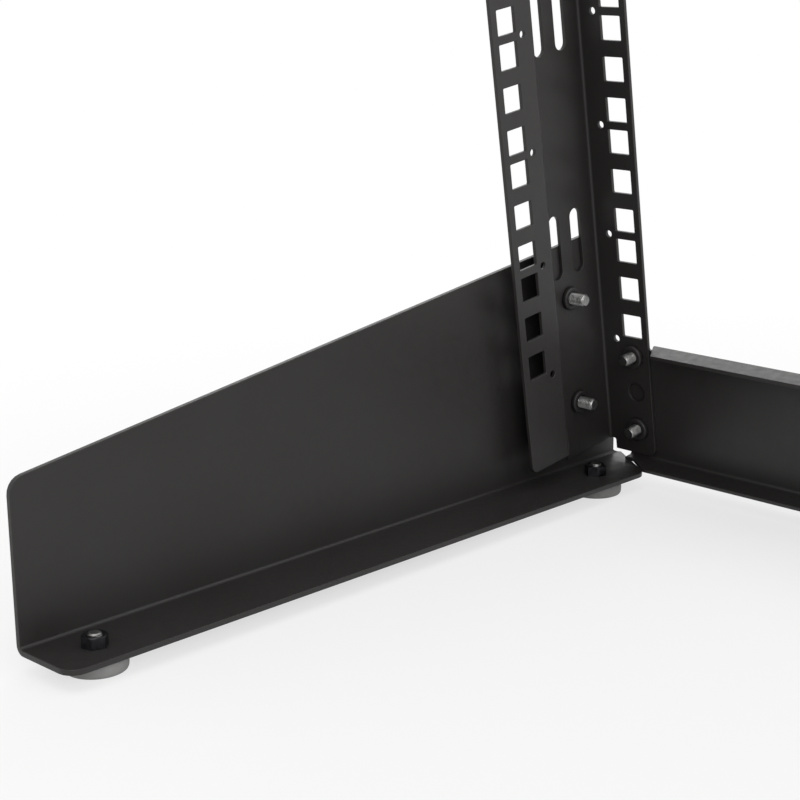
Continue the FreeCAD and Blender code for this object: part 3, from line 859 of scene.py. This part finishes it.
def seat_mesh(name, seats, grip):
    """One vertex for each seat, with its direction as an attribute."""
    mesh = bpy.data.meshes.new(name)
    spots = [place + way * (depth * MM if grip else 0) for place, way, depth in seats]
    mesh.from_pydata(spots, [], [])
    facing = mesh.attributes.new("facing", "FLOAT_VECTOR", "POINT")
    for item, (_, way, _) in zip(facing.data, seats):
        item.vector = way
    return mesh


FOOT_SPOTS = [(-FOOT_SHEET, BOLT_LINE, rise) for rise in BOLT_RISES]
FOOT_SEATS = both_sides(FOOT_SPOTS, (1, 0, 0), FOOT_SHEET + SHEET)
BAR_SEATS = both_sides(bar_spots(), (0, 1, 0), 2 * SHEET)
print(len(FOOT_SEATS), "screws in the feet and", len(BAR_SEATS), "in the bars")

# %% [markdown]
# ## Threads by rule
#
# A screw thread is a rule: the radius falls and rises once in each pitch, and the place
# of that ripple turns with the angle. So the rod starts as a plain cylinder with many rings
# and one Set Position node moves each point in or out. Near the tip the radius is held
# down, which gives the lead-in cone. An M5 thread has a pitch of 0.8 mm.

# %% The tree that cuts a thread
CREST, AHEAD = 1.2, 8.0


def make_thread_tree():
    tree, given, result = new_tree(
        "Cut a thread", Pitch="length", Depth="length", Radius="length", Length="length",
        Tip="length", Finish="material")
    parts = tree.nodes.new("ShaderNodeSeparateXYZ")
    tree.links.new(add(tree, "GeometryNodeInputPosition"), parts.inputs[0])
    x, y, z = parts.outputs

    def work(operation, *values):
        return calc(tree, operation, *values)

    turn = work("DIVIDE", work("ARCTAN2", y, x), 2 * math.pi)
    phase = work("SUBTRACT", work("DIVIDE", z, given["Pitch"]), turn)
    rise = work("MULTIPLY", work("FRACT", work("ADD", phase, AHEAD)), 2.0)
    ripple = work("ABSOLUTE", work("SUBTRACT", rise, 1.0))
    crest = work("MINIMUM", work("MULTIPLY", ripple, CREST), 1.0)
    sunk = work("MULTIPLY", given["Depth"], work("SUBTRACT", 1.0, crest))
    cut = work("SUBTRACT", given["Radius"], sunk)
    room = work("SUBTRACT", given["Length"], z)
    lead = work("ADD", work("SUBTRACT", given["Radius"], given["Tip"]), room)
    flat = add(tree, "ShaderNodeCombineXYZ", X=x, Y=y)
    away = add(tree, "ShaderNodeVectorMath", {"operation": "NORMALIZE"}, Vector=flat)
    size = add(tree, "ShaderNodeVectorMath", {"operation": "LENGTH"}, "Value", Vector=flat)
    share = work("MINIMUM", work("DIVIDE", size, given["Radius"]), 1.0)
    radius = work("MULTIPLY", work("MINIMUM", cut, lead), share)
    moved = add(tree, "ShaderNodeVectorMath", {"operation": "SCALE"}, Vector=away, Scale=radius)
    height = add(tree, "ShaderNodeCombineXYZ", Z=z)
    place = calc(tree, "ADD", moved, height, kind="ShaderNodeVectorMath")
    shaped = add(tree, "GeometryNodeSetPosition", Geometry=given["Geometry"], Position=place)
    finish_tree(tree, shaped, given["Finish"], result)
    return tree


THREAD = make_thread_tree()
print("tree:", THREAD.name)

# %% [markdown]
# ## Turned shapes
#
# A lathe turns a profile about an axis. Here each point of the profile becomes a ring of
# vertices, with quads between the rings. A rod has a straight profile, and the tree above
# cuts its thread.

# %% The lathe and the threaded rods
ROD_RADIUS, PITCH, THREAD_DEPTH, TIP = 2.5, 0.8, 0.55, 0.6
ROD_SIDES, RINGS_PER_PITCH = 28, 8


def ring(shape, spots):
    """A ring of vertices about Z from (angle, radius, height), in millimetres."""
    return [shape.verts.new((radius * MM * math.cos(angle), radius * MM * math.sin(angle),
                             height * MM)) for angle, radius, height in spots]


def join_rings(shape, rings):
    """Quads between each ring and the next."""
    for low, high in zip(rings, rings[1:]):
        for k in range(len(low)):
            after = (k + 1) % len(low)
            shape.faces.new((low[k], low[after], high[after], high[k]))


def close_ends(shape, rings):
    """A flat cap on the first and the last ring."""
    shape.faces.new(list(reversed(rings[0])))
    shape.faces.new(rings[-1])


def lathe(name, profile, sides, finish, smooth=True, closed=False):
    """A turned shape about Z from (radius, height) points, closed or with two flat ends."""
    shape = bmesh.new()
    angles = [2 * math.pi * k / sides for k in range(sides)]
    rings = [ring(shape, [(angle, radius, height) for angle in angles])
             for radius, height in profile]
    join_rings(shape, rings + rings[:1] if closed else rings)
    if not closed:
        close_ends(shape, rings)
    for part in shape.faces:
        part.smooth = smooth
    if closed:
        bmesh.ops.recalc_face_normals(shape, faces=shape.faces)
    return mesh_from(shape, name, finish)


def threaded_rod(name, low, high):
    """An M5 rod between two heights with a pointed top."""
    steps = round((high - low) / PITCH * RINGS_PER_PITCH)
    profile = [(ROD_RADIUS, low + (high - low) * k / steps) for k in range(steps + 1)]
    rod = place_object(name, lathe(name, profile, ROD_SIDES, ZINC, smooth=False))
    use_tree(rod, THREAD, Pitch=PITCH * MM, Depth=THREAD_DEPTH * MM, Radius=ROD_RADIUS * MM,
             Length=high * MM, Tip=TIP * MM, Finish=ZINC)
    return plain_mesh(rod)


ROD_START, LONG_ROD, SHORT_ROD = 0.2, 12.0, 10.0
long_rod = threaded_rod("long_rod", ROD_START, LONG_ROD)
short_rod = threaded_rod("short_rod", ROD_START, SHORT_ROD)
print("threaded rods:", len(long_rod.polygons), "and", len(short_rod.polygons), "faces")

# %% [markdown]
# ## Screw heads, nuts and clinch nuts
#
# A hexagon head is a prism whose six top corners are turned away on a lathe, which leaves a
# round shoulder. Here the corners are lowered where they stand outside a cone. The clinch
# nuts are round with a small chamfer, and their threaded hole is closed by the screw.

# %% Hexagons with turned corners
FLATS, ROUND_TOP, CORNER_CUT, CUT_ANGLE = 8.0, 7.6, 0.12, math.radians(30)
WALL_RINGS, HEX_SIDES = (0.0, 0.35, 0.75, 1.0), 48
BORE, BORE_CHAMFER = 2.45, 0.35
HEAD_HEIGHT, NUT_HEIGHT = 3.5, 4.0


def hexagon(name, finish, height, bored=False):
    """A head or a bored nut about Z from z = 0 up, its upper corners turned off."""
    shape, edges = bmesh.new(), []
    angles = [2 * math.pi * (k + 0.5) / HEX_SIDES for k in range(HEX_SIDES)]
    for angle in angles:
        near = (angle + math.pi / 6) % (math.pi / 3) - math.pi / 6
        edge = min(FLATS / 2 / math.cos(near), FLATS / math.sqrt(3) - CORNER_CUT)
        edges.append((angle, edge, height - max(0.0, edge - ROUND_TOP / 2) * math.tan(CUT_ANGLE)))
    rings = [ring(shape, [(angle, edge, top * share) for angle, edge, top in edges])
             for share in WALL_RINGS]
    inner = [(ROUND_TOP / 2, height)]
    if bored:
        inner += [(BORE, height - BORE_CHAMFER), (BORE, 0.0)]
    rings += [ring(shape, [(angle, radius, z) for angle in angles]) for radius, z in inner]
    join_rings(shape, rings + rings[:1] if bored else rings)
    if not bored:
        close_ends(shape, rings)
    return mesh_from(shape, name, finish)


stud_nut_mesh = hexagon("stud_nut", DARK_NUT, NUT_HEIGHT, bored=True)
head_mesh = hexagon("screw_head", ZINC, HEAD_HEIGHT)
head_mesh.transform(Matrix.Rotation(math.pi, 4, "X"))
print("nut:", len(stud_nut_mesh.polygons), "faces, head:", len(head_mesh.polygons))

# %% Clinch nut and pad as turned shapes
CLINCH_SIDES, PAD_SIDES = 40, 64
clinch_profile = [(2.45, 0.0), (4.75, 0.0), (4.75, 1.45), (4.66, 1.72), (4.45, 1.9), (4.2, 2.0),
                  (2.9, 2.0), (2.45, 1.6)]
pad_profile = [(8.6, 0.0), (9.5, 0.0), (10.1, 0.25), (10.4, 0.8), (10.5, 1.6), (10.5, 4.3),
               (10.35, 4.9), (9.95, 5.3), (9.3, 5.5), (4.2, 5.5), (3.9, 5.2), (3.2, 5.0)]
clinch_mesh = lathe("clinch_nut", clinch_profile, CLINCH_SIDES, POWDER, closed=True)
pad_mesh = lathe("pad", pad_profile, PAD_SIDES, RUBBER)
print("clinch nut:", len(clinch_mesh.polygons), "faces, pad:", len(pad_mesh.polygons))

# %% [markdown]
# ## One fastener on every point
#
# The tree aligns a copy's Z axis with the stored direction and gives each copy its own turn
# about that axis, as nobody lines screws up. The random turn has a fixed seed, so the rack
# looks the same each time. The copies are made real, since an export drops instances.

# %% The tree that sets fasteners
def make_setting_tree():
    tree, given, result = new_tree("Set fasteners", Seed="count", Finish="material",
                                   Fastener="object")
    model = add(tree, "GeometryNodeObjectInfo", None, "Geometry", Object=given["Fastener"])
    facing = add(tree, "GeometryNodeInputNamedAttribute", {"data_type": "FLOAT_VECTOR"},
                 Name="facing")
    aligned = add(tree, "FunctionNodeAlignRotationToVector", {"axis": "Z"}, Vector=facing)
    angle = add(tree, "FunctionNodeRandomValue", None, 1, Max=2 * math.pi, Seed=given["Seed"])
    copies = add(tree, "GeometryNodeInstanceOnPoints", Points=given["Geometry"],
                 Instance=model, Rotation=aligned)
    turned = add(tree, "GeometryNodeRotateInstances", Instances=copies,
                 Rotation=add(tree, "ShaderNodeCombineXYZ", Z=angle))
    finish_tree(tree, turned, given["Finish"], result)
    return tree


SETTING = make_setting_tree()
print("tree:", SETTING.name)

# %% Helpers that set fasteners and find their nodes
def screw(name, rod):
    """A rod and a screw head as one mesh."""
    shape = bmesh.new()
    for mesh in (rod, head_mesh):
        shape.from_mesh(mesh)
    return mesh_from(shape, name, ZINC)


def set_fasteners(name, model, seats, nodes, finish, seed, grip=False):
    """Put the model on every seat as one plain mesh, and hand it over."""
    pattern = place_object(name + "_model", model)
    points = place_object(name, seat_mesh(name, seats, grip))
    use_tree(points, SETTING, Seed=seed, Fastener=pattern, Finish=finish)
    mesh = plain_mesh(points)
    bpy.data.objects.remove(pattern)
    hand_over(place_object(name, mesh), nodes)


def nodes_named(*words, end=""):
    """The measured model's nodes whose names hold all these words and end so."""
    return sorted(n for n in frame["nodes"] if n.endswith(end) and all(w in n for w in words))


print("bolts in the measured model:", len(nodes_named("_bolt")))

# %% Set the screws and their nuts
set_fasteners("foot_screws", screw("long_screw", long_rod), FOOT_SEATS,
              nodes_named("_foot_", "_bolt"), ZINC, seed=3)
set_fasteners("bar_screws", screw("short_screw", short_rod), BAR_SEATS,
              nodes_named("_bar_", "_bolt"), ZINC, seed=4)
clinched = [n for n in nodes_named("_nut") if "_stud" not in n]
set_fasteners("clinch_nuts", clinch_mesh, FOOT_SEATS + BAR_SEATS, clinched,
              POWDER, seed=5, grip=True)

# %% Set the pads, their studs and nuts
STUD_START, STUD_ABOVE = 1.6, 4.6
FLANGE_TOP = PAD_HEIGHT + FOOT_SHEET
PAD_SEATS = []
for side in (-1, 1):
    for along in STUD_PLACES:
        spot = Vector((side * (HALF_SPAN + FOOT_SHEET - STUD_INSET), along - FOOT_LENGTH / 2, 0))
        PAD_SEATS.append((spot * MM, Z_AXIS, FLANGE_TOP))
stud_mesh = threaded_rod("stud", STUD_START, FLANGE_TOP + STUD_ABOVE)
set_fasteners("floor_pads", pad_mesh, PAD_SEATS, nodes_named(end="_pad"), RUBBER,
              seed=7)
set_fasteners("pad_studs", stud_mesh, PAD_SEATS, nodes_named(end="_stud"), ZINC,
              seed=9)
set_fasteners("stud_nuts", stud_nut_mesh, PAD_SEATS, nodes_named(end="_stud_nut"),
              DARK_NUT, seed=11, grip=True)

# %% [markdown]
# ## Floor and light
#
# The photograph shows the rack in front of plain white, lit softly from all round. So the
# world is white where the camera, a reflection or a glass ray meets it, and a plain grey for
# the light that it sends on to the object. One large lamp above and three beside give the
# metal its soft gradients. The pale floor keeps the rack's shadow and turns white around it.

# %% The world
PLAIN_LIGHT, WHITE = 0.55, (1, 1, 1, 1)


def white_rays(tree):
    """1 for the rays of the camera, of a reflection and through glass, else 0."""
    path = tree.nodes.new("ShaderNodeLightPath")
    seen = path.outputs["Is Camera Ray"]
    for kind in ("Is Glossy Ray", "Is Transmission Ray"):
        seen = calc(tree, "MAXIMUM", seen, path.outputs[kind])
    return seen


def make_world():
    world = bpy.data.worlds.new("studio")
    bpy.context.scene.world = world
    world.use_nodes = True
    tree = world.node_tree
    seen = white_rays(tree)
    plain, white = tree.nodes["Background"], tree.nodes.new("ShaderNodeBackground")
    for shade, strength in ((plain, PLAIN_LIGHT), (white, 1.0)):
        shade.inputs["Color"].default_value = WHITE
        shade.inputs["Strength"].default_value = strength
    mixed = calc(tree, None, seen, plain.outputs[0], white.outputs[0], kind="ShaderNodeMixShader")
    tree.links.new(mixed, tree.nodes["World Output"].inputs["Surface"])


make_world()
print("world:", bpy.context.scene.world.name)

# %% The floor
FLOOR_HALF, FLOOR_COLOUR = 6.0, (0.94, 0.94, 0.94, 1)
NEAR, FAR, WHITE_NEAR, WHITE_FAR = 0.2, 0.6, 0.6, 1.0


def make_floor():
    """A pale floor that turns into plain white from NEAR to FAR metres from the middle."""
    mesh = bpy.data.meshes.new("floor")
    corners = ((-1, -1), (1, -1), (1, 1), (-1, 1))
    mesh.from_pydata([(x * FLOOR_HALF, y * FLOOR_HALF, 0) for x, y in corners], [], [range(4)])
    floor = place_object("floor", mesh)
    material, tree, shader = new_material("pale_floor", Base_Color=FLOOR_COLOUR, Roughness=0.9,
                                          Specular_IOR_Level=0.1)
    where = add(tree, "ShaderNodeTexCoord", result="Object")
    reach = add(tree, "ShaderNodeVectorMath", {"operation": "LENGTH"}, "Value", Vector=where)
    away = spread(tree, reach, WHITE_NEAR, WHITE_FAR, NEAR, FAR)
    share = calc(tree, "MULTIPLY", away, white_rays(tree))
    white = tree.nodes.new("ShaderNodeEmission")
    mixed = calc(tree, None, share, shader.outputs[0], white.outputs[0],
                 kind="ShaderNodeMixShader")
    tree.links.new(mixed, tree.nodes["Material Output"].inputs["Surface"])
    floor.data.materials.append(material)
    floor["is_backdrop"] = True


make_floor()
print("floor:", 2 * FLOOR_HALF, "m wide")

# %% Lamps
def lamp(name, place, target_height, width, power):
    """A square lamp that looks at a point above the middle of the rack's floor."""
    data = bpy.data.lights.new(name, "AREA")
    data.shape, data.size, data.energy = "SQUARE", width, power
    thing = place_object(name, data)
    thing.location = place
    way = Vector((0, 0, target_height)) - Vector(place)
    thing.rotation_euler = way.to_track_quat("-Z", "Y").to_euler()


lamp("soft_top", (0.2, 0.2, 2.4), 0.2, width=2.0, power=12)
lamp("soft_rear_left", (-1.8, 1.4, 1.2), 0.2, width=1.4, power=22)
lamp("soft_front_left", (-1.9, -1.0, 1.0), 0.3, width=1.4, power=12)
lamp("soft_front_right", (1.6, -1.6, 1.3), 0.3, width=1.4, power=8)

# %% [markdown]
# ## The camera
#
# The picture looks down on the lower corner of one post from inside the rack. The holes of
# the rack are a ruler in the photograph: their places gave the camera's place, turn and lens.

# %% The camera at the photograph's angle
CAMERA_PLACE, CAMERA_TURN = (-217.62, 447.43, 231.11), (75.0882, 0.6097, -135.1582)
SENSOR, LENS, CLIP = 36.0, 83.353, (0.01, 50)
scene = bpy.context.scene
camera = place_object("camera", bpy.data.cameras.new("camera"))
camera.location = Vector(CAMERA_PLACE) * MM
camera.rotation_euler = [math.radians(angle) for angle in CAMERA_TURN]
camera.data.sensor_width, camera.data.lens = SENSOR, LENS
camera.data.clip_start, camera.data.clip_end = CLIP
scene.camera = camera
scene.view_settings.view_transform = "Standard"
print("camera", [round(v, 3) for v in camera.location])

# %% Print the measured box and the shown box
model_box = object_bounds()
for name, box in (("measured", cad_box), ("shown", model_box)):
    print(name, "box in mm:", [[round(v / MM, 2) for v in corner] for corner in box])
